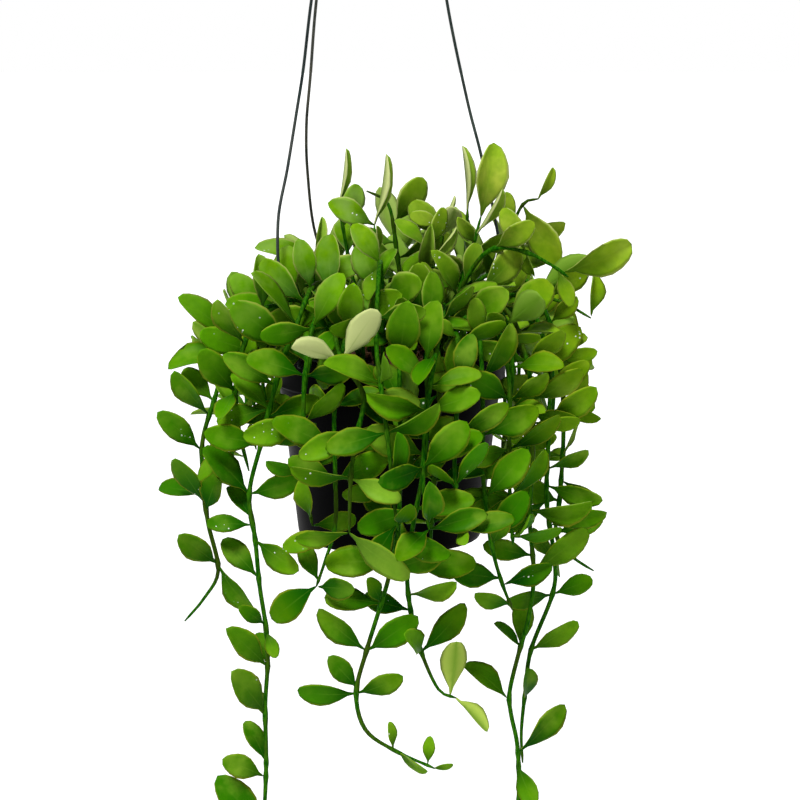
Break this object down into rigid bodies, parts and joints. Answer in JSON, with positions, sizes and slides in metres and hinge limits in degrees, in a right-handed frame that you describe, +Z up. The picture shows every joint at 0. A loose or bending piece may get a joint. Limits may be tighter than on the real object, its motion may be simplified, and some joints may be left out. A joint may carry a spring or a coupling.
{
  "type": "potted hanging plant",
  "caption": "Trailing plant with small fleshy oval leaves in a black plastic hanging pot, on a three-wire hanger that ends in one hook.",
  "frame": {"origin": "the point at the top of the inside of the hook's bend, where the hook bears on what it hangs from", "axes": "+Z up along the hanger, -Y towards the front of the plant, +X to the right as seen from the front"},
  "size_m": [0.2731, 0.2895, 0.7744],
  "materials": {
    "pot_plastic": "satin",
    "potting_mix": "rough",
    "coated_wire": "satin",
    "ferrule": "satin",
    "foliage": "glossy"
  },
  "bodies": {
    "root": {"hanger_ferrule": "ferrule", "hanger_hook": "coated_wire", "hanger_wire_back": "coated_wire", "hanger_wire_left": "coated_wire", "hanger_wire_right": "coated_wire", "pot": "pot_plastic", "potting_mix": "potting_mix", "shoot_crown_broad": "foliage", "shoot_crown_fold": "foliage", "shoot_crown_left": "foliage", "shoot_crown_middle": "foliage", "shoot_crown_right": "foliage", "shoot_crown_spike": "foliage", "shoot_crown_twig": "foliage", "shoot_far_right": "foliage", "shoot_upper_left": "foliage", "sprig_right": "foliage", "sprig_upper_right": "foliage", "trail_centre": "foliage", "trail_centre_left": "foliage", "trail_left_inner": "foliage", "trail_left_outer": "foliage", "trail_right_back": "foliage", "trail_right_front": "foliage", "vine_front_centre": "foliage", "vine_front_inner": "foliage", "vine_front_left": "foliage", "vine_front_middle": "foliage", "vine_front_pale": "foliage", "vine_front_right": "foliage", "vine_high_01": "foliage", "vine_high_02": "foliage", "vine_high_03": "foliage", "vine_high_04": "foliage", "vine_high_05": "foliage", "vine_high_06": "foliage", "vine_high_07": "foliage", "vine_left_face": "foliage", "vine_low_01": "foliage", "vine_low_02": "foliage", "vine_low_03": "foliage", "vine_low_04": "foliage", "vine_low_05": "foliage", "vine_low_06": "foliage", "vine_low_07": "foliage", "vine_low_08": "foliage", "vine_low_09": "foliage", "vine_low_10": "foliage", "vine_low_11": "foliage", "vine_low_12": "foliage", "vine_right_face": "foliage", "vine_right_side": "foliage", "vine_short_left": "foliage"}
  },
  "joints": []
}
